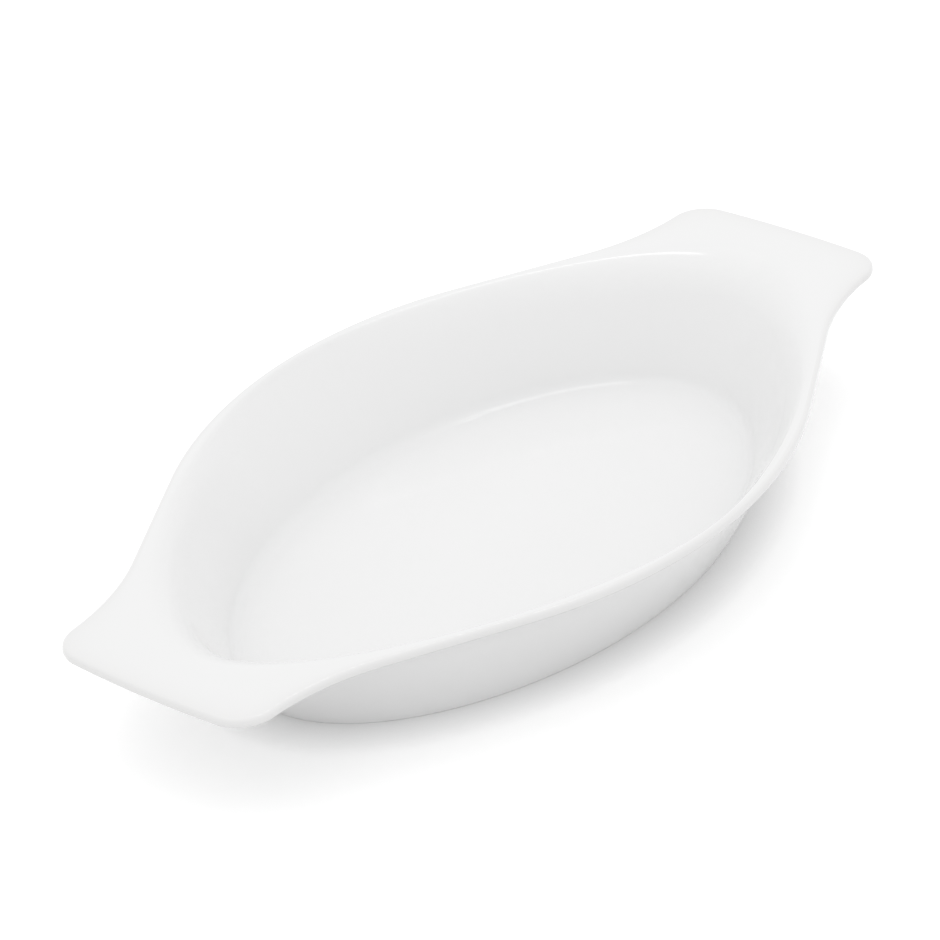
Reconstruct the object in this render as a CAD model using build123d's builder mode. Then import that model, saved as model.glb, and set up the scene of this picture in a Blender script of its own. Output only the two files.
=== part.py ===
# Oval gratin dish with two flat ears, one piece of glazed white ceramic.
# Lengths are millimetres. The long axis is X, and the dish stands on Z = 0 with its middle over the origin.
from math import asin, atan2, cos, hypot, sin, sqrt, tan
import os

from build123d import *

# Overall sizes
overall_length = 320.0
overall_width = 177.0
overall_height = 40.0

# Ears, which are the ends of the rim seen from above
ear_width = 78.4
ear_end_bow = 1.8
ear_corner_radius = 12.0
ear_thickness = 3.2
ear_flat_length = 14.0
ear_bend_radius = 27.0
ear_side_taper = 8.6

# Bowl, whose walls run outwards this far seen from above
end_wall_run = 40.0
side_wall_run = 24.5
wall_thickness = 3.4
floor_thickness = 4.0
floor_corner_radius = 6.0

# Rim
lip_land_width = 1.6
lip_inner_radius = 1.4
lip_step_width = 1.8
rim_edge_radius = 1.4

# Foot
foot_edge_bevel = 1.2
foot_ring_width = 6.0
recess_depth = 1.2

# Where the rim's side turns down from its middle and out into the ear, as shares of the half length
side_turn_share = 0.2634
ear_turn_share = 0.1295

# Handles of an oval along X and along Y, as shares of its half length and half width
foot_oval_shares = (0.517, 0.517)
rim_oval_shares = (0.48, 0.45)
underside_oval_shares = (0.50, 0.47)

# Largest edge rounding, as a share of the thickness that it rounds
round_share = 0.45

# Steps between sections round the corner on the floor, up the straight wall and round the bend into the ear
corner_steps = 4
wall_steps = 9
bend_steps = 7

half_length = overall_length / 2
half_width = overall_width / 2
half_ear_width = ear_width / 2
ear_corner_x = half_length - ear_end_bow
bend_end_x = half_length - ear_flat_length
foot_reach_x = bend_end_x - end_wall_run
foot_reach_y = half_width - side_wall_run
underside_height = overall_height - ear_thickness
floor_height = recess_depth + floor_thickness
edge_radius = min(rim_edge_radius, round_share * ear_thickness)


# Slope of a straight wall that starts at one point and bends level at another
def wall_slope(start, end, bend, corner):
    across = end[0] - start[0]
    up = end[1] - bend - start[1]
    return atan2(up, across) + asin(bend / hypot(across, up))


# How far out the wall stands at a height, with a rounded corner at its start and a bend at its end
def wall_reach(height, start, end, bend, corner):
    slope = wall_slope(start, end, bend, corner)
    rise = height - start[1]
    drop = end[1] - height
    if rise < corner * (1 - cos(slope)):
        return start[0] - corner * tan(slope / 2) + sqrt(rise * (2 * corner - rise))
    if drop < bend * (1 - cos(slope)):
        return end[0] - sqrt(drop * (2 * bend - drop))
    return start[0] + rise / tan(slope)


# Heights of the sections round a rounded corner, up to where the steeper wall leaves it
def corner_heights(start, radius, *walls):
    turn = max(wall_slope(*wall) for wall in walls)
    return [start + radius * (1 - cos(turn * i / corner_steps)) for i in range(corner_steps + 1)]


# Heights of the sections from a start, evenly spaced up the wall and then round the bend
def wall_heights(low, start, end, bend, corner):
    slope = wall_slope(start, end, bend, corner)
    curved = [end[1] - bend * (1 - cos(slope * i / bend_steps)) for i in range(bend_steps, -1, -1)]
    straight = [low + (curved[0] - low) * i / wall_steps for i in range(wall_steps)]
    return straight + curved


# Foot of the inside wall on the floor, one wall thickness in from the outside wall
def inner_start(start, end, bend, corner):
    slope = wall_slope(start, end, bend, corner)
    return start[0] + floor_height / tan(slope) - wall_thickness / sin(slope), floor_height


# Quarter of an oval, from mid side to the end
def quarter_oval(reach_x, reach_y, shares):
    along, across = shares
    return (0, reach_y), (along * reach_x, reach_y), (reach_x, across * reach_y), (reach_x, 0)


# Quarter of the bowl's section at a height, which changes from one shape of oval to another
def quarter_section(height, end_wall, side_wall, low_shares, high_shares):
    low, high = end_wall[0][1], end_wall[1][1]
    progress = (height - low) / (high - low)
    shares = [a + (b - a) * progress for a, b in zip(low_shares, high_shares)]
    return quarter_oval(wall_reach(height, *end_wall), wall_reach(height, *side_wall), shares)


# Walls as where they start, where they level off, the radius of that bend and of the corner at the start
outer_end = ((foot_reach_x, 0), (bend_end_x, underside_height), ear_bend_radius - ear_thickness, 0)
outer_side = ((foot_reach_y, 0), (half_width - lip_step_width, underside_height), 0, 0)
inner_end = (inner_start(*outer_end), (bend_end_x, overall_height), ear_bend_radius, floor_corner_radius)
lip_end = (half_width - lip_land_width, overall_height)
inner_side = (inner_start(*outer_side), lip_end, lip_inner_radius, floor_corner_radius)

# Both sides of the bowl as their walls at the end and mid side, with the ovals at the bottom and the top
outside = (outer_end, outer_side, foot_oval_shares, underside_oval_shares)
inside = (inner_end, inner_side, foot_oval_shares, rim_oval_shares)

# Sections of the inside, as a zone round the corner on the floor and a zone above it
corner_zone = corner_heights(floor_height, floor_corner_radius, inner_end, inner_side)
wall_zone = wall_heights(corner_zone[-1], *inner_end)

# A side of the rim goes level from its middle, straight down its flank and out along the side of the ear.
# Each turn is an arc that is as long on the flank as on the other side of the turn.
side_middle = Vector(0, half_width)
side_turn = side_middle + Vector(side_turn_share * half_length, 0)
ear_corner = Vector(ear_corner_x, half_ear_width)
ear_turn = ear_corner + Vector(-ear_turn_share * half_length, 0).rotate(Axis.Z, -ear_side_taper)
flank = (ear_turn - side_turn).normalized()
flank_start = side_turn + flank * (side_turn - side_middle).length
flank_end = ear_turn - flank * (ear_turn - ear_corner).length

# Rim and ears, one plate with soft edges
with BuildPart() as rim:
    with BuildSketch(Plane.XY.offset(underside_height)) as rim_outline:
        with BuildLine():
            TangentArc(side_middle, flank_start, tangent=(1, 0))
            Line(flank_start, flank_end)
            TangentArc(ear_corner, flank_end, tangent=ear_turn - ear_corner)
            mirror(about=Plane.XZ)
            ThreePointArc(ear_corner, (half_length, 0), (ear_corner_x, -half_ear_width))
            mirror(about=Plane.YZ)
        make_face()
        corners = rim_outline.vertices().group_by(Axis.X)
        fillet(corners[0] + corners[-1], radius=ear_corner_radius)
    extrude(amount=ear_thickness)
    fillet(rim.faces().filter_by(Axis.Z).edges(), radius=edge_radius)

with BuildPart() as dish:
    # Outside of the bowl, which flares into the undersides of the ears and stays within the rim's outline
    for height in wall_heights(0, *outer_end):
        with BuildSketch(Plane.XY.offset(height)):
            with BuildLine():
                Bezier(*quarter_section(height, *outside))
                mirror(about=Plane.YZ)
                mirror(about=Plane.XZ)
            make_face()
    loft()
    extrude(rim_outline.sketch, amount=overall_height, both=True, mode=Mode.INTERSECT)
    add(rim.part)

    # Inside of the bowl, which curves up from the floor, rounds over the lip and flares into the ears
    for heights in (corner_zone, wall_zone):
        for height in heights:
            with BuildSketch(Plane.XY.offset(height)):
                with BuildLine():
                    Bezier(*quarter_section(height, *inside))
                    mirror(about=Plane.YZ)
                    mirror(about=Plane.XZ)
                make_face()
        loft(mode=Mode.SUBTRACT)

    # Bevel round the foot
    foot = dish.faces().filter_by(Axis.Z).sort_by(Axis.Z)[0]
    chamfer(foot.edges(), length=foot_edge_bevel)

    # Shallow recess underneath with a sloping edge, which leaves a ring to stand on
    for height, inset in ((0, foot_ring_width), (recess_depth, foot_ring_width + recess_depth)):
        with BuildSketch(Plane.XY.offset(height)):
            with BuildLine():
                Bezier(*quarter_oval(foot_reach_x - inset, foot_reach_y - inset, foot_oval_shares))
                mirror(about=Plane.YZ)
                mirror(about=Plane.XZ)
            make_face()
    loft(ruled=True, mode=Mode.SUBTRACT)

dish.part.label = "dish"
os.makedirs("parts", exist_ok=True)
export_step(dish.part, "parts/dish.step")
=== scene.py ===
# Oval gratin dish with two flat ears: one fired piece under white glaze, standing on a pale table.
from math import asin, atan2, cos, hypot, pi, radians, sin, sqrt, tan

import bpy
from mathutils import Matrix, Vector


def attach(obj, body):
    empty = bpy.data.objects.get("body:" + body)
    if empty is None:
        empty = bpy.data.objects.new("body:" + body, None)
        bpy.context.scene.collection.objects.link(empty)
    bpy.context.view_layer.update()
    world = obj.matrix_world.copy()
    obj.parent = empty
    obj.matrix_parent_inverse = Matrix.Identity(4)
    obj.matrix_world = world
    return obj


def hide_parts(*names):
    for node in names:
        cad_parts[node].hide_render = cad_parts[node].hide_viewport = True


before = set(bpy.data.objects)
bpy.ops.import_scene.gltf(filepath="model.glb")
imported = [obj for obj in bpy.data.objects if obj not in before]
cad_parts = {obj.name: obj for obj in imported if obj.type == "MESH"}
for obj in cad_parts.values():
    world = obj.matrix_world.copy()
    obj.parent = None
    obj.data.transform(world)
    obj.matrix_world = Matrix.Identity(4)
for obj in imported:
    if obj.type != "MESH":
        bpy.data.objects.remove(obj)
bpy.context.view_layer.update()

scene = bpy.context.scene
scene.view_settings.view_transform = "Standard"
print("frame loaded")


def isSocket(value):
    return isinstance(value, bpy.types.NodeSocket)


def addNode(tree, kind, inputs=None, **settings):
    node = tree.nodes.new(kind)
    for name, value in settings.items():
        setattr(node, name, value)
    for name, value in (inputs or {}).items():
        if isSocket(value):
            tree.links.new(value, node.inputs[name])
        else:
            node.inputs[name].default_value = value
    return node


def calc(tree, operation, *values):
    node = addNode(tree, "ShaderNodeMath", operation=operation)
    for socket, value in zip(node.inputs, values):
        if isSocket(value):
            tree.links.new(value, socket)
        else:
            socket.default_value = value
    return node.outputs[0]


# Sizes in metres. The turns of the rim and the handles of the ovals are shares.
# Steps of a wall are the rings round the corner at its foot, up the straight and round the bend.
dishSizes = {
    "length": 0.320,
    "width": 0.1769,
    "height": 0.040,
    "earWidth": 0.0784,
    "earBow": 0.0018,
    "earCorner": 0.012,
    "earThickness": 0.0032,
    "earFlat": 0.014,
    "earBend": 0.027,
    "earTaper": radians(-4.9),
    "endWallRun": 0.040,
    "sideWallRun": 0.0245,
    "wall": 0.0034,
    "floor": 0.004,
    "floorCorner": 0.006,
    "lipInset": 0.0016,
    "lipRadius": 0.0014,
    "lipStep": 0.0018,
    "rimEdge": 0.0014,
    "footEdge": 0.0015,
    "footRing": 0.006,
    "recess": 0.0012,
    "sideTurnShare": 0.2323,
    "earTurnShare": 0.1582,
    "footOval": (0.517, 0.517),
    "rimOval": (0.40, 0.37),
    "undersideOval": (0.38, 0.39),
    "pointsAround": 704,
    "outlineSteps": 64,
    "insideSteps": (8, 12, 30),
    "outsideSteps": (6, 12, 16),
    "edgeSteps": 8,
    "recessSteps": 6,
    # each ring on the floor by its share of the way out and how pooled the glaze is there
    "floorRings": ((0, 0), (0.35, 0), (0.7, 0), (0.85, 0.1), (0.93, 0.5), (0.97, 0.85)),
    "pooledSteps": 14,
    "flatRings": (0.25, 0.5, 0.75, 0.9),
    "recessRings": (0.9, 0.6, 0.3, 0),
    "weld": 0.000005,
}

d = dishSizes
floorHeight = d["recess"] + d["floor"]
underside = d["height"] - d["earThickness"]
bendEnd = d["length"] / 2 - d["earFlat"]
footX = bendEnd - d["endWallRun"]
footY = d["width"] / 2 - d["sideWallRun"]


# A wall goes from where it would meet the level ground, to where it has bent level again:
# start and end as (distance from the middle, height), radius of the bend, radius of the corner at its foot
def wallSlope(wall):
    (x0, z0), (x1, z1), bend, corner = wall
    return atan2(z1 - bend - z0, x1 - x0) + asin(bend / hypot(x1 - x0, z1 - bend - z0))


def wallReach(wall, height):
    (x0, z0), (x1, z1), bend, corner = wall
    slope = wallSlope(wall)
    rise, drop = height - z0, z1 - height
    if rise < corner * (1 - cos(slope)):
        return x0 - corner * tan(slope / 2) + sqrt(max(0, rise * (2 * corner - rise)))
    if drop < bend * (1 - cos(slope)):
        return x1 - sqrt(max(0, drop * (2 * bend - drop)))
    return x0 + rise / tan(slope)


# The inside wall starts one wall thickness in from the outside one
def insideStart(wall):
    slope = wallSlope(wall)
    return wall[0][0] + floorHeight / tan(slope) - d["wall"] / sin(slope), floorHeight


outerEnd = ((footX, 0), (bendEnd, underside), d["earBend"] - d["earThickness"], d["footEdge"])
outerSide = ((footY, 0), (d["width"] / 2 - d["lipStep"], underside), 0, d["footEdge"])
innerEnd = (insideStart(outerEnd), (bendEnd, d["height"]), d["earBend"], d["floorCorner"])
lipEnd = (d["width"] / 2 - d["lipInset"], d["height"])
innerSide = (insideStart(outerSide), lipEnd, d["lipRadius"], d["floorCorner"])


# Heights up one wall: round the corner at its foot, up the straight and round the bend
def wallHeights(endWall, sideWall, cornerSteps, wallSteps, bendSteps):
    (x0, z0), (x1, z1), bend, corner = endWall
    cornerSlope = max(wallSlope(endWall), wallSlope(sideWall))
    bendSlope = wallSlope(endWall)
    foot = [z0 + corner * (1 - cos(cornerSlope * i / cornerSteps)) for i in range(cornerSteps + 1)]
    top = [z1 - bend * (1 - cos(bendSlope * i / bendSteps)) for i in range(bendSteps, -1, -1)]
    straight = [foot[-1] + (top[0] - foot[-1]) * i / wallSteps for i in range(1, wallSteps)]
    return foot + straight + top


# One ring of the dish: an oval at a height, or the rim's outline drawn inwards, or a share of each,
# and how thin or how pooled the glaze is there
def ovalRing(reachX, reachY, height, handles, outlineShare=0.0, inset=0.0, thin=0.0, pooled=0.0):
    return {
        "reach": (reachX, reachY, height),
        "handles": (handles[0], handles[1], 0),
        "outline": (outlineShare, inset, 0),
        "glaze": (thin, pooled, 0),
    }


def wallRings(endWall, sideWall, lowHandles, highHandles, steps):
    low, high = endWall[0][1], endWall[1][1]
    rings = []
    for height in wallHeights(endWall, sideWall, *steps):
        share = (height - low) / (high - low)
        handles = [a + (b - a) * share for a, b in zip(lowHandles, highHandles)]
        rings.append(ovalRing(wallReach(endWall, height), wallReach(sideWall, height), height, handles))
    return rings


# The inside from the middle of the floor to the end of the bend, with glaze pooled in the corner
def insideRings():
    walls = wallRings(innerEnd, innerSide, d["footOval"], d["rimOval"], d["insideSteps"])
    pooledSteps = d["pooledSteps"]
    for i in range(pooledSteps):
        walls[i]["glaze"] = (0, 0.5 + 0.5 * cos(pi * i / pooledSteps), 0)
    x, y, height = walls[0]["reach"]
    floor = [
        ovalRing(x * share, y * share, height, d["footOval"], pooled=pooled)
        for share, pooled in d["floorRings"]
    ]
    return floor + walls


# From the bend out to the rim's edge, on the top or the underside of the plate that carries the ears
def flatRings(bendRing):
    x, y, height = bendRing["reach"]
    return [
        ovalRing(x, y, height, bendRing["handles"], share, d["rimEdge"], thin=share**4)
        for share in d["flatRings"]
    ]


# Round half of the rim's edge: side is -1 to go down from the top and 1 to go up from the underside
def edgeRings(bendRing, side):
    x, y, height = bendRing["reach"]
    edge, steps = d["rimEdge"], d["edgeSteps"]
    rings = []
    for i in range(steps + 1):
        turn = pi / 2 * i / steps
        level = height + side * edge * (1 - cos(turn))
        rings.append(ovalRing(x, y, level, bendRing["handles"], 1, edge * (1 - sin(turn)), thin=1))
    return rings


# Under the dish: the ring that it stands on, and the shallow recess inside that with a soft sloping edge
def footRings():
    ringX, ringY = footX - d["footRing"], footY - d["footRing"]
    rings = []
    for i in range(d["recessSteps"] + 1):
        share = i / d["recessSteps"]
        inset, rise = d["recess"] * share, d["recess"] * share * share * (3 - 2 * share)
        rings.append(ovalRing(ringX - inset, ringY - inset, rise, d["footOval"], thin=1 - share))
    for share in d["recessRings"]:
        rings.append(ovalRing(ringX * share, ringY * share, d["recess"], d["footOval"]))
    return rings


# All rings in order, and the numbers of the two that bound the unglazed foot
def dishRings():
    inside = insideRings()
    outside = wallRings(outerEnd, outerSide, d["footOval"], d["undersideOval"], d["outsideSteps"])
    outside[0]["glaze"] = outside[1]["glaze"] = (1, 0, 0)
    rings = inside + flatRings(inside[-1]) + edgeRings(inside[-1], -1)
    rings += edgeRings(outside[-1], 1)[::-1] + flatRings(outside[-1])[::-1] + outside[::-1]
    firstFootRing = len(rings) - 1
    return rings + footRings(), firstFootRing, firstFootRing + 1


# The rim's outline from above, a closed curve that starts at mid side and runs clockwise:
# side arc, straight flank, hollow arc, rounded corner and bowed end, then mirrored
def rimOutline():
    halfLength, halfWidth = d["length"] / 2, d["width"] / 2
    cornerX, cornerY = halfLength - d["earBow"], d["earWidth"] / 2
    sideTurn, earTurn = d["sideTurnShare"] * halfLength, d["earTurnShare"] * halfLength
    earSide = Vector((cos(d["earTaper"]), -sin(d["earTaper"])))
    flank = Vector((cornerX, cornerY)) - earSide * earTurn - Vector((sideTurn, halfWidth))
    flankTurn = -atan2(flank.y, flank.x)
    sideRadius = sideTurn / tan(flankTurn / 2)
    hollowRadius = earTurn / tan((flankTurn - d["earTaper"]) / 2)
    sideCentre = Vector((0, halfWidth - sideRadius))
    hollowCentre = Vector((cornerX, cornerY)) + Vector((-earSide.y, earSide.x)) * hollowRadius
    bowRadius = (cornerY**2 + d["earBow"] ** 2) / (2 * d["earBow"])
    bowCentre = Vector((halfLength - bowRadius, 0))

    # the corner's centre lies one corner radius from both arcs that it joins
    outer, inner = hollowRadius + d["earCorner"], bowRadius - d["earCorner"]
    between = bowCentre - hollowCentre
    along = (outer**2 - inner**2 + between.length**2) / (2 * between.length)
    between.normalize()
    aside = Vector((-between.y, between.x)) * sqrt(outer**2 - along**2)
    cornerCentre = hollowCentre + between * along + aside
    hollowOut = (cornerCentre - hollowCentre).normalized()
    bowOut = (cornerCentre - bowCentre).normalized()
    flankOut = Vector((sin(flankTurn), cos(flankTurn)))

    # each arc as centre, radius, and the directions from its centre to its first and last points
    arcs = (
        (sideCentre, sideRadius, Vector((0, 1)), flankOut),
        (hollowCentre, hollowRadius, -flankOut, hollowOut),
        (cornerCentre, d["earCorner"], -hollowOut, bowOut),
        (bowCentre, bowRadius, bowOut, Vector((1, 0))),
    )
    points = []
    for number, (centre, radius, first, last) in enumerate(arcs):
        turn = first.angle_signed(last)
        handle = abs(4 / 3 * tan(turn / 4)) * radius
        heading = [Vector((v.y, -v.x)) * (1 if turn > 0 else -1) for v in (first, last)]
        start, end = centre + first * radius, centre + last * radius
        if number < 2:
            points.append([start, None, start + heading[0] * handle])
        else:
            points[-1][2] = start + heading[0] * handle
        points.append([end, end - heading[1] * handle, None])

    # the straight flank between the first two arcs
    third = (points[2][0] - points[1][0]) / 3
    points[1][2] = points[1][0] + third
    points[2][1] = points[2][0] - third
    return points


def outlineCurve():
    quarter = rimOutline()
    half = quarter + [
        [Vector((p.x, -p.y)) if p else None for p in (point, after, before)]
        for point, before, after in reversed(quarter[:-1])
    ]
    half[len(quarter) - 1][2] = Vector((quarter[-1][1].x, -quarter[-1][1].y))
    whole = half + [
        [Vector((-p.x, p.y)) if p else None for p in (point, after, before)]
        for point, before, after in reversed(half[1:-1])
    ]
    half[-1][2] = Vector((-half[-1][1].x, half[-1][1].y))
    whole[0][1] = Vector((-half[0][2].x, half[0][2].y))
    curve = bpy.data.curves.new("rimOutline", "CURVE")
    curve.dimensions = "3D"
    curve.resolution_u = d["outlineSteps"]
    spline = curve.splines.new("BEZIER")
    spline.bezier_points.add(len(whole) - 1)
    spline.use_cyclic_u = True
    for knot, (point, before, after) in zip(spline.bezier_points, whole):
        knot.handle_left_type = knot.handle_right_type = "FREE"
        knot.co = (*point, 0)
        knot.handle_left = (*before, 0)
        knot.handle_right = (*after, 0)
    outline = bpy.data.objects.new("rimOutline", curve)
    scene.collection.objects.link(outline)
    return outline


# The points of this mesh hold the rings' sizes, which the node tree reads
def ringTable(rings):
    mesh = bpy.data.meshes.new("dishGlazed")
    mesh.from_pydata([(0, 0, 0.001 * i) for i in range(len(rings))], [], [])
    for name in ("reach", "handles", "outline", "glaze"):
        table = mesh.attributes.new(name, "FLOAT_VECTOR", "POINT")
        for row, ring in enumerate(rings):
            table.data[row].vector = ring[name]
    table = bpy.data.objects.new("dishGlazed", mesh)
    scene.collection.objects.link(table)
    return table


def storeValue(tree, geometry, name, value):
    inputs = {"Geometry": geometry, "Name": name, "Value": value}
    kinds = {"data_type": "FLOAT", "domain": "POINT"}
    return addNode(tree, "GeometryNodeStoreNamedAttribute", inputs, **kinds).outputs[0]


# Node tree that skins the rings: a grid of points around by rings, bent round and closed
def ringSkinTree():
    tree = bpy.data.node_groups.new("ringSkin", "GeometryNodeTree")
    tree.is_modifier = True
    face = tree.interface
    face.new_socket("Rings", in_out="INPUT", socket_type="NodeSocketGeometry")
    for name, kind in (
        ("Points Around", "NodeSocketInt"),
        ("Ring Count", "NodeSocketInt"),
        ("First Foot Ring", "NodeSocketInt"),
        ("Last Foot Ring", "NodeSocketInt"),
        ("Rim Outline", "NodeSocketObject"),
        ("Glaze", "NodeSocketMaterial"),
        ("Bare Foot", "NodeSocketMaterial"),
    ):
        face.new_socket(name, in_out="INPUT", socket_type=kind)
    face.new_socket("Dish", in_out="OUTPUT", socket_type="NodeSocketGeometry")
    given = tree.nodes.new("NodeGroupInput").outputs
    around, count = given["Points Around"], given["Ring Count"]

    # flat grid whose X counts the points around and whose Y counts the rings
    lastRing = calc(tree, "SUBTRACT", count, 1.0)
    gridSizes = {
        "Size X": around,
        "Size Y": lastRing,
        "Vertices X": calc(tree, "ADD", around, 1.0),
        "Vertices Y": count,
    }
    grid = addNode(tree, "GeometryNodeMeshGrid", gridSizes)
    position = tree.nodes.new("GeometryNodeInputPosition").outputs[0]
    place = addNode(tree, "ShaderNodeSeparateXYZ", {0: position}).outputs
    turn = calc(tree, "ADD", calc(tree, "DIVIDE", place["X"], around), 0.5)
    ring = calc(tree, "ROUND", calc(tree, "ADD", place["Y"], calc(tree, "MULTIPLY", lastRing, 0.5)))

    def ringValue(name):
        stored = addNode(tree, "GeometryNodeInputNamedAttribute", {"Name": name}, data_type="FLOAT_VECTOR")
        inputs = {"Geometry": given["Rings"], "Value": stored.outputs["Attribute"], "Index": ring}
        sample = addNode(tree, "GeometryNodeSampleIndex", inputs, data_type="FLOAT_VECTOR", domain="POINT")
        return addNode(tree, "ShaderNodeSeparateXYZ", {0: sample.outputs["Value"]}).outputs

    reach, handles, outline, glaze = (ringValue(name) for name in ("reach", "handles", "outline", "glaze"))
    numbered = storeValue(tree, grid.outputs["Mesh"], "ringNumber", ring)
    thinned = storeValue(tree, numbered, "glazeThin", glaze["X"])
    pooled = storeValue(tree, thinned, "glazePooled", glaze["Y"])

    # quarter of an oval by its two handles, run forwards and backwards by turns
    quarters = calc(tree, "MULTIPLY", turn, 4.0)
    t = calc(tree, "PINGPONG", quarters, 1.0)
    back = calc(tree, "SUBTRACT", 1.0, t)
    startShare = calc(tree, "POWER", back, 3.0)
    firstShare = calc(tree, "MULTIPLY", calc(tree, "MULTIPLY", 3.0, t), calc(tree, "POWER", back, 2.0))
    secondShare = calc(tree, "MULTIPLY", calc(tree, "MULTIPLY", 3.0, back), calc(tree, "POWER", t, 2.0))
    endShare = calc(tree, "POWER", t, 3.0)
    ovalX = calc(tree, "MULTIPLY_ADD", firstShare, handles["X"], calc(tree, "ADD", secondShare, endShare))
    ovalY = calc(tree, "MULTIPLY_ADD", secondShare, handles["Y"], calc(tree, "ADD", firstShare, startShare))
    leftSide = calc(tree, "GREATER_THAN", quarters, 2.0)
    nearSide = calc(tree, "LESS_THAN", calc(tree, "ABSOLUTE", calc(tree, "SUBTRACT", quarters, 2.0)), 1.0)
    signX = calc(tree, "MULTIPLY_ADD", leftSide, -2.0, 1.0)
    signY = calc(tree, "MULTIPLY_ADD", nearSide, -2.0, 1.0)
    ovalPlace = {
        "X": calc(tree, "MULTIPLY", calc(tree, "MULTIPLY", ovalX, reach["X"]), signX),
        "Y": calc(tree, "MULTIPLY", calc(tree, "MULTIPLY", ovalY, reach["Y"]), signY),
        "Z": reach["Z"],
    }
    oval = addNode(tree, "ShaderNodeCombineXYZ", ovalPlace).outputs[0]

    # the outline at the same share of its way round, drawn inwards square to itself
    info = addNode(tree, "GeometryNodeObjectInfo", {"Object": given["Rim Outline"]})
    inputs = {"Curves": info.outputs["Geometry"], "Factor": turn}
    rim = addNode(tree, "GeometryNodeSampleCurve", inputs, mode="FACTOR", use_all_curves=True)
    point = addNode(tree, "ShaderNodeSeparateXYZ", {0: rim.outputs["Position"]}).outputs
    heading = addNode(tree, "ShaderNodeSeparateXYZ", {0: rim.outputs["Tangent"]}).outputs
    edgePlace = {
        "X": calc(tree, "ADD", point["X"], calc(tree, "MULTIPLY", heading["Y"], outline["Y"])),
        "Y": calc(tree, "SUBTRACT", point["Y"], calc(tree, "MULTIPLY", heading["X"], outline["Y"])),
        "Z": reach["Z"],
    }
    edge = addNode(tree, "ShaderNodeCombineXYZ", edgePlace).outputs[0]
    mixed = addNode(tree, "ShaderNodeMix", {"Factor": outline["X"], 4: oval, 5: edge}, data_type="VECTOR")

    inputs = {"Geometry": pooled, "Position": mixed.outputs[1]}
    shaped = addNode(tree, "GeometryNodeSetPosition", inputs)
    inputs = {"Geometry": shaped.outputs[0], "Distance": d["weld"]}
    closed = addNode(tree, "GeometryNodeMergeByDistance", inputs)
    smooth = addNode(tree, "GeometryNodeSetShadeSmooth", {"Geometry": closed.outputs[0]})
    named = addNode(tree, "GeometryNodeInputNamedAttribute", {"Name": "ringNumber"}, data_type="FLOAT")
    number = named.outputs["Attribute"]
    afterFirst = calc(tree, "GREATER_THAN", number, given["First Foot Ring"])
    beforeLast = calc(tree, "LESS_THAN", number, given["Last Foot Ring"])
    inFoot = calc(tree, "MULTIPLY", afterFirst, beforeLast)
    real = addNode(tree, "GeometryNodeRealizeInstances", {"Geometry": smooth.outputs[0]})
    inputs = {"Geometry": real.outputs[0], "Material": given["Glaze"]}
    glazed = addNode(tree, "GeometryNodeSetMaterial", inputs)
    inputs = {"Geometry": glazed.outputs[0], "Selection": inFoot, "Material": given["Bare Foot"]}
    footed = addNode(tree, "GeometryNodeSetMaterial", inputs)
    result = tree.nodes.new("NodeGroupOutput")
    tree.links.new(footed.outputs[0], result.inputs["Dish"])
    return tree


def setInput(modifier, tree, name, value):
    socket = next(s for s in tree.interface.items_tree if s.name == name and s.in_out == "INPUT")
    modifier[socket.identifier] = value


def makeDish(glaze, bareFoot):
    rings, firstFootRing, lastFootRing = dishRings()
    outline = outlineCurve()
    table = ringTable(rings)
    tree = ringSkinTree()
    modifier = table.modifiers.new("ringSkin", "NODES")
    modifier.node_group = tree
    for name, value in (
        ("Points Around", d["pointsAround"]),
        ("Ring Count", len(rings)),
        ("First Foot Ring", firstFootRing),
        ("Last Foot Ring", lastFootRing),
        ("Rim Outline", outline),
        ("Glaze", glaze),
        ("Bare Foot", bareFoot),
    ):
        setInput(modifier, tree, name, value)
    shown = bpy.context.evaluated_depsgraph_get()
    plain = bpy.data.meshes.new_from_object(table.evaluated_get(shown))
    plain.name = "dishGlazedMesh"
    plain.attributes.remove(plain.attributes["ringNumber"])
    table.modifiers.remove(modifier)
    table.data = plain
    bpy.data.objects.remove(outline)
    return table


# Fired clay and glaze alike: cloudy tone, fine grain, and a surface that waves and is grainy.
# Sizes are in waves or grains to the metre, heights in metres.
def firedSurfaceGroup():
    group = bpy.data.node_groups.new("firedSurface", "ShaderNodeTree")
    face = group.interface
    for name in ("Cloud Scale", "Wave Scale", "Wave Height", "Grain Scale", "Grain Height"):
        face.new_socket(name, in_out="INPUT", socket_type="NodeSocketFloat")
    face.new_socket("Cloud", in_out="OUTPUT", socket_type="NodeSocketFloat")
    face.new_socket("Grain", in_out="OUTPUT", socket_type="NodeSocketFloat")
    face.new_socket("Normal", in_out="OUTPUT", socket_type="NodeSocketVector")
    given = group.nodes.new("NodeGroupInput").outputs
    place = group.nodes.new("ShaderNodeTexCoord").outputs["Object"]

    def noise(scale, detail):
        inputs = {"Vector": place, "Scale": scale, "Detail": detail}
        return addNode(group, "ShaderNodeTexNoise", inputs).outputs[0]

    cloud = noise(given["Cloud Scale"], 3.0)
    wave = noise(given["Wave Scale"], 1.0)
    grain = noise(given["Grain Scale"], 2.0)
    waved = addNode(group, "ShaderNodeBump", {"Height": wave, "Distance": given["Wave Height"]})
    inputs = {"Height": grain, "Distance": given["Grain Height"], "Normal": waved.outputs[0]}
    grained = addNode(group, "ShaderNodeBump", inputs)
    result = group.nodes.new("NodeGroupOutput")
    group.links.new(cloud, result.inputs["Cloud"])
    group.links.new(grain, result.inputs["Grain"])
    group.links.new(grained.outputs[0], result.inputs["Normal"])
    return group


def addSurface(tree, group, look):
    node = tree.nodes.new("ShaderNodeGroup")
    node.node_tree = group
    for name in ("Cloud Scale", "Wave Scale", "Wave Height", "Grain Scale", "Grain Height"):
        node.inputs[name].default_value = look[name]
    return node.outputs


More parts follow.
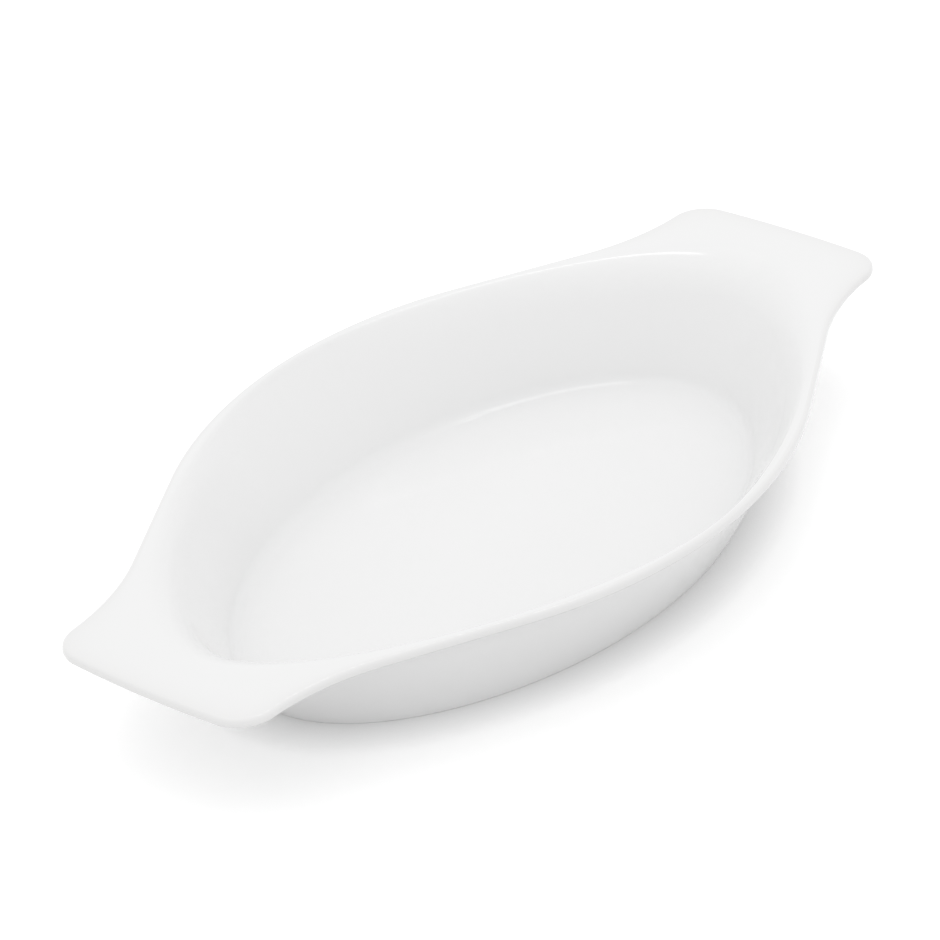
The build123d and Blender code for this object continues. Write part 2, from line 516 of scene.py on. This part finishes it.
def mixColour(tree, share, first, second):
    node = addNode(tree, "ShaderNodeMix", {"Factor": share}, data_type="RGBA")
    for socket, value in ((node.inputs[6], first), (node.inputs[7], second)):
        if isSocket(value):
            tree.links.new(value, socket)
        else:
            socket.default_value = value
    return node.outputs[2]


def newMaterial(name):
    material = bpy.data.materials.new(name)
    material.use_nodes = True
    return material, material.node_tree, material.node_tree.nodes["Principled BSDF"]


# White glaze: a little duller where it runs thin over an edge, a little cooler where it pools
glazeLook = {
    "colour": (0.92, 0.92, 0.92, 1),
    "cloudColour": (0.90, 0.90, 0.90, 1),
    "thinColour": (0.85, 0.845, 0.84, 1),
    "thinShare": 0.5,
    "pooledColour": (0.90, 0.905, 0.905, 1),
    "pooledShare": 0.25,
    "roughness": (0.07, 0.13),
    "Cloud Scale": 14.0,
    "Wave Scale": 45.0,
    "Wave Height": 0.000012,
    "Grain Scale": 500.0,
    "Grain Height": 0.0000001,
}


def makeGlaze(group):
    look = glazeLook
    material, tree, shader = newMaterial("whiteGlaze")
    surface = addSurface(tree, group, look)
    thin = addNode(tree, "ShaderNodeAttribute", attribute_name="glazeThin").outputs["Fac"]
    pooled = addNode(tree, "ShaderNodeAttribute", attribute_name="glazePooled").outputs["Fac"]
    cloudy = mixColour(tree, surface["Cloud"], look["colour"], look["cloudColour"])
    thinShare = calc(tree, "MULTIPLY", thin, look["thinShare"])
    worn = mixColour(tree, thinShare, cloudy, look["thinColour"])
    pooledShare = calc(tree, "MULTIPLY", pooled, look["pooledShare"])
    colour = mixColour(tree, pooledShare, worn, look["pooledColour"])
    low, high = look["roughness"]
    roughness = calc(tree, "MULTIPLY_ADD", surface["Cloud"], high - low, low)
    tree.links.new(colour, shader.inputs["Base Color"])
    tree.links.new(roughness, shader.inputs["Roughness"])
    tree.links.new(surface["Normal"], shader.inputs["Normal"])
    return material


# Bare foot: matt fired clay, ground flat, with fine dark grains
footLook = {
    "colour": (0.80, 0.785, 0.75, 1),
    "cloudColour": (0.74, 0.72, 0.68, 1),
    "grainColour": (0.62, 0.59, 0.55, 1),
    "grainFrom": 0.56,
    "grainShare": 3.0,
    "roughness": 0.85,
    "Cloud Scale": 60.0,
    "Wave Scale": 120.0,
    "Wave Height": 0.00006,
    "Grain Scale": 1600.0,
    "Grain Height": 0.00004,
}


def makeBareFoot(group):
    look = footLook
    material, tree, shader = newMaterial("bareFoot")
    surface = addSurface(tree, group, look)
    cloudy = mixColour(tree, surface["Cloud"], look["colour"], look["cloudColour"])
    over = calc(tree, "SUBTRACT", surface["Grain"], look["grainFrom"])
    inputs = {0: over, 1: look["grainShare"]}
    speck = addNode(tree, "ShaderNodeMath", inputs, operation="MULTIPLY", use_clamp=True)
    colour = mixColour(tree, speck.outputs[0], cloudy, look["grainColour"])
    tree.links.new(colour, shader.inputs["Base Color"])
    tree.links.new(surface["Normal"], shader.inputs["Normal"])
    shader.inputs["Roughness"].default_value = look["roughness"]
    return material


firedSurface = firedSurfaceGroup()
dish = makeDish(makeGlaze(firedSurface), makeBareFoot(firedSurface))
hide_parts("dish")
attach(dish, "root")
print("dish made", len(dish.data.polygons), "faces")


# Table top: white to the camera and to reflections, and grey near the dish, partly from the lamps' real shade
# and partly from painted shadow, where ambient occlusion darkens its colour and glow
stageLook = {
    "size": 6.0,
    "colour": (0.8, 0.8, 0.8, 1),
    "glow": 0.45,
    # painted shadow: reach and strength of each ambient-occlusion darkening of the table
    "paintedShadows": ((0.014, 0.36), (0.045, 0.24)),
    "shadeSamples": 8,
}


def makeTable():
    half = stageLook["size"] / 2
    mesh = bpy.data.meshes.new("tableTop")
    corners = [(-half, -half, 0), (half, -half, 0), (half, half, 0), (-half, half, 0)]
    mesh.from_pydata(corners, [], [(0, 1, 2, 3)])
    table = bpy.data.objects.new("tableTop", mesh)
    scene.collection.objects.link(table)
    material = bpy.data.materials.new("tableWhite")
    material.use_nodes = True
    tree = material.node_tree
    tree.nodes.clear()
    matt = addNode(tree, "ShaderNodeBsdfDiffuse", {"Color": stageLook["colour"]})
    # painted shadow: close under the dish the table's colour and glow are darkened by ambient occlusion;
    # reach of each painted shadow and how much it takes away
    light = 1.0
    for reach, strength in stageLook["paintedShadows"]:
        inputs = {"Distance": reach}
        shade = addNode(tree, "ShaderNodeAmbientOcclusion", inputs, samples=stageLook["shadeSamples"])
        near = shade.outputs["AO"]
        light = calc(tree, "MULTIPLY", light, calc(tree, "MULTIPLY_ADD", near, strength, 1 - strength))
    # painted shadow: the glow and the colour that the camera sees are darkened by the occlusion factor
    paintedShadowGlow = calc(tree, "MULTIPLY", light, stageLook["glow"])
    paintedShadowColour = mixColour(tree, light, (0, 0, 0, 1), stageLook["colour"])
    paintedShadowMatt = addNode(tree, "ShaderNodeBsdfDiffuse", {"Color": paintedShadowColour})
    glow = addNode(tree, "ShaderNodeEmission", {"Strength": paintedShadowGlow})
    lit = addNode(tree, "ShaderNodeAddShader", {0: paintedShadowMatt.outputs[0], 1: glow.outputs[0]})
    path = tree.nodes.new("ShaderNodeLightPath").outputs
    seen = calc(tree, "MAXIMUM", path["Is Camera Ray"], path["Is Glossy Ray"])
    mix = addNode(tree, "ShaderNodeMixShader", {0: seen, 1: matt.outputs[0], 2: lit.outputs[0]})
    output = tree.nodes.new("ShaderNodeOutputMaterial")
    tree.links.new(mix.outputs[0], output.inputs["Surface"])
    mesh.materials.append(material)


makeTable()

# Light: a pale sky all round, a wide weak lamp above, and a strip that draws the thin bright lines
# along the rim and the corner of the floor
lampSettings = {
    "sky": 0.94,
    "lamps": (
        {
            "name": "softTop",
            "place": (0.3, 0.4, 1.6),
            "along": (1, 0, 0),
            "size": (1.4, 1.4),
            "power": 0.9,
        },
        {
            "name": "rimStrip",
            "place": (0.68, 0.27, 1.64),
            "along": (-2, 1, 0.4),
            "size": (0.5, 0.16),
            "power": 1.0,
        },
    ),
}


def makeLight():
    world = bpy.data.worlds.new("paleSky")
    scene.world = world
    world.use_nodes = True
    tree = world.node_tree
    sky = tree.nodes["Background"]
    sky.inputs["Color"].default_value = (1, 1, 1, 1)
    path = tree.nodes.new("ShaderNodeLightPath").outputs
    strength = calc(tree, "MULTIPLY_ADD", path["Is Camera Ray"], 1 - lampSettings["sky"], lampSettings["sky"])
    tree.links.new(strength, sky.inputs["Strength"])
    for lamp in lampSettings["lamps"]:
        light = bpy.data.lights.new(lamp["name"], "AREA")
        light.shape = "RECTANGLE"
        light.size, light.size_y = lamp["size"]
        light.energy = lamp["power"]
        holder = bpy.data.objects.new(lamp["name"], light)
        place = Vector(lamp["place"])
        across = place.cross(Vector(lamp["along"])).normalized()
        facing = Matrix((across.cross(place).normalized(), across, place.normalized())).transposed()
        holder.matrix_world = Matrix.Translation(place) @ facing.to_4x4()
        scene.collection.objects.link(holder)


makeLight()
print("stage and light made")

# Camera: looks down past the near ear, tipped a little to one side as the photograph is
cameraSettings = {
    "turn": radians(-48.54),
    "height": radians(31.43),
    "tip": radians(-4.90),
    "distance": 1.330,
    "target": (-0.01481, -0.00346, 0.0384),
    "lens": 166.51,
    "sensor": 36,
}


def makeCamera():
    c = cameraSettings
    out = Vector((sin(c["turn"]) * cos(c["height"]), -cos(c["turn"]) * cos(c["height"]), sin(c["height"])))
    right = Vector((0, 0, 1)).cross(out).normalized()
    up = out.cross(right)
    tippedRight = right * cos(c["tip"]) + up * sin(c["tip"])
    tippedUp = up * cos(c["tip"]) - right * sin(c["tip"])
    turn = Matrix((tippedRight, tippedUp, out)).transposed().to_4x4()
    data = bpy.data.cameras.new("photoCamera")
    data.lens = c["lens"]
    data.sensor_width = c["sensor"]
    camera = bpy.data.objects.new("photoCamera", data)
    camera.matrix_world = Matrix.Translation(Vector(c["target"]) + out * c["distance"]) @ turn
    scene.collection.objects.link(camera)
    scene.camera = camera


makeCamera()
print("camera made")
